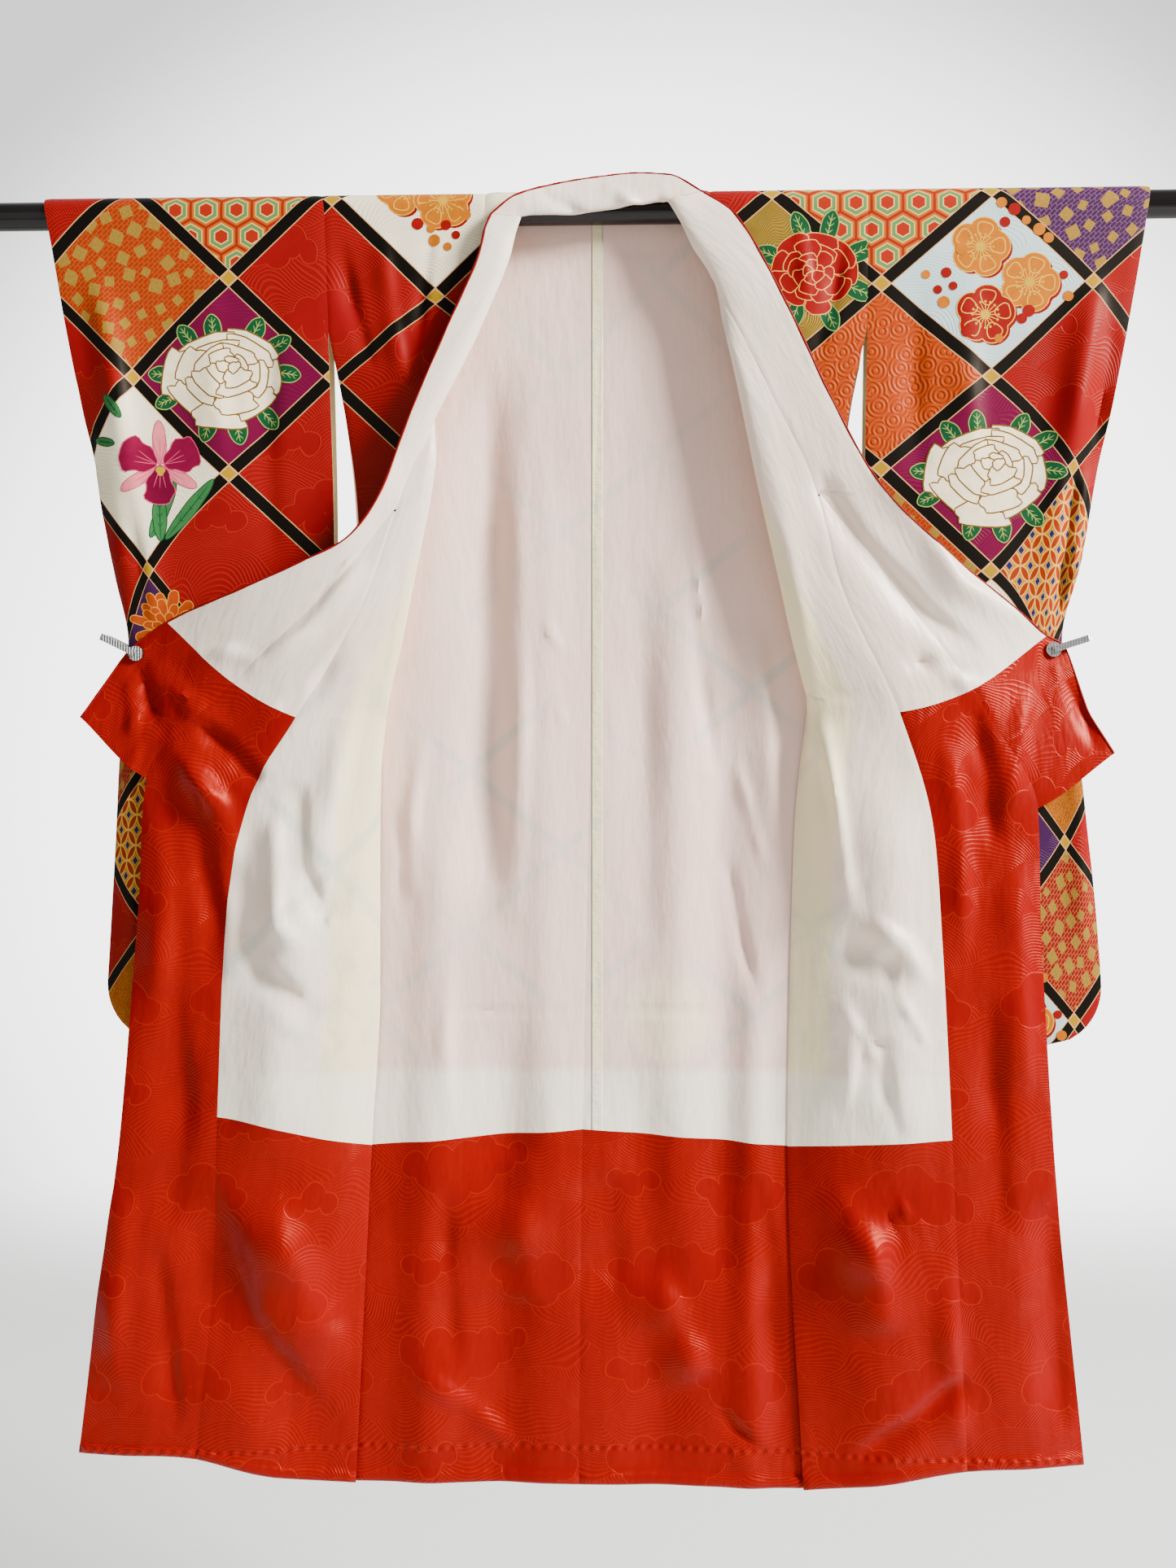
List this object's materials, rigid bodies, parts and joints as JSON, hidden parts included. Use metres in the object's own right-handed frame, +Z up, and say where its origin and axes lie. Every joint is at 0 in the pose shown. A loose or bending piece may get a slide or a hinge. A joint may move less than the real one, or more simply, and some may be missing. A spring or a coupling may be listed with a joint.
{
  "type": "furisode kimono on a hanging rod",
  "caption": "Long-sleeved lined kimono hung through its sleeves on a round rod, its fronts opened outwards and clipped to the sleeves to show the lining.",
  "frame": {"origin": "middle of the hanging rod, on its axis", "axes": "+X along the rod to the viewer's right, -Y towards the viewer who sees the opened fronts, +Z up"},
  "size_m": [1.52, 0.0851, 1.5816],
  "materials": {
    "outer_cloth": "heavy silk with a soft sheen, red ground under a black lattice",
    "white_lining": "thin smooth lining silk, satin",
    "red_lining": "figured satin silk",
    "black_lacquer": "glossy black lacquer",
    "clip_metal": "bright steel"
  },
  "bodies": {
    "root": {"rod": "black_lacquer", "clip_left": "clip_metal", "clip_right": "clip_metal", "back_left": "outer_cloth", "back_right": "outer_cloth", "back_lining_left": "white_lining", "back_lining_right": "white_lining", "back_hem_lining_left": "red_lining", "back_hem_lining_right": "red_lining", "front_left": "outer_cloth", "front_right": "outer_cloth", "front_lining_left": "white_lining", "front_lining_right": "white_lining", "front_hem_lining_left": "red_lining", "front_hem_lining_right": "red_lining", "okumi_left": "outer_cloth", "okumi_right": "outer_cloth", "okumi_lining_left": "white_lining", "okumi_lining_right": "white_lining", "okumi_hem_lining_left": "red_lining", "okumi_hem_lining_right": "red_lining", "collar_left": "outer_cloth", "collar_right": "outer_cloth", "collar_neck": "outer_cloth", "collar_lining_left": "white_lining", "collar_lining_right": "white_lining", "collar_lining_neck": "white_lining", "collar_hem_lining_left": "red_lining", "collar_hem_lining_right": "red_lining", "sleeve_front_left": "outer_cloth", "sleeve_front_right": "outer_cloth", "sleeve_back_left": "outer_cloth", "sleeve_back_right": "outer_cloth", "sleeve_lining_front_left": "white_lining", "sleeve_lining_front_right": "white_lining", "sleeve_lining_back_left": "white_lining", "sleeve_lining_back_right": "white_lining"}
  },
  "joints": []
}
